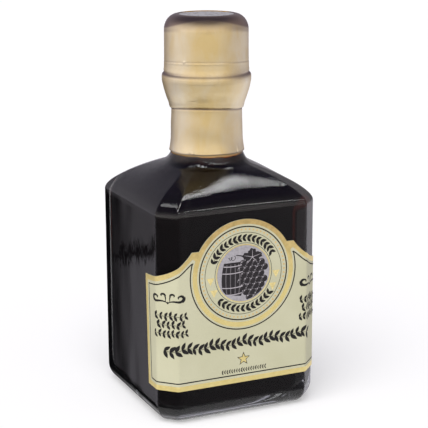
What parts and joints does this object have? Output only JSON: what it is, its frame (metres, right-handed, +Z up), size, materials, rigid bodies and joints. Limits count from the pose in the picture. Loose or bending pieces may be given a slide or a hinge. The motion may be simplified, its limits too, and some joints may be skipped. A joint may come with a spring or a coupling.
{
  "type": "vinegar bottle",
  "caption": "Square glass bottle of dark vinegar with chamfered corners, a stopper under a gold shrink sleeve, and a cream label with a round middle.",
  "frame": {"origin": "middle of the flat foot that the bottle stands on", "axes": "+Z up the bottle's axis to the stopper, the label looks along -Y, +X to the right of the label"},
  "size_m": [0.0628, 0.0624, 0.1428],
  "materials": {
    "glass": "clear, glossy",
    "vinegar": "near-black brown liquid",
    "stopper": "plain, hidden by the sleeve",
    "sleeve_film": "satin champagne gold shrink film",
    "sleeve_disc": "glossy champagne gold film",
    "label_paper": "matt cream paper with gold foil border"
  },
  "bodies": {
    "root": {"glass_bottle": "glass", "vinegar": "vinegar", "stopper": "stopper", "capsule": "sleeve_film", "capsule_disc": "sleeve_disc", "label": "label_paper"}
  },
  "joints": []
}
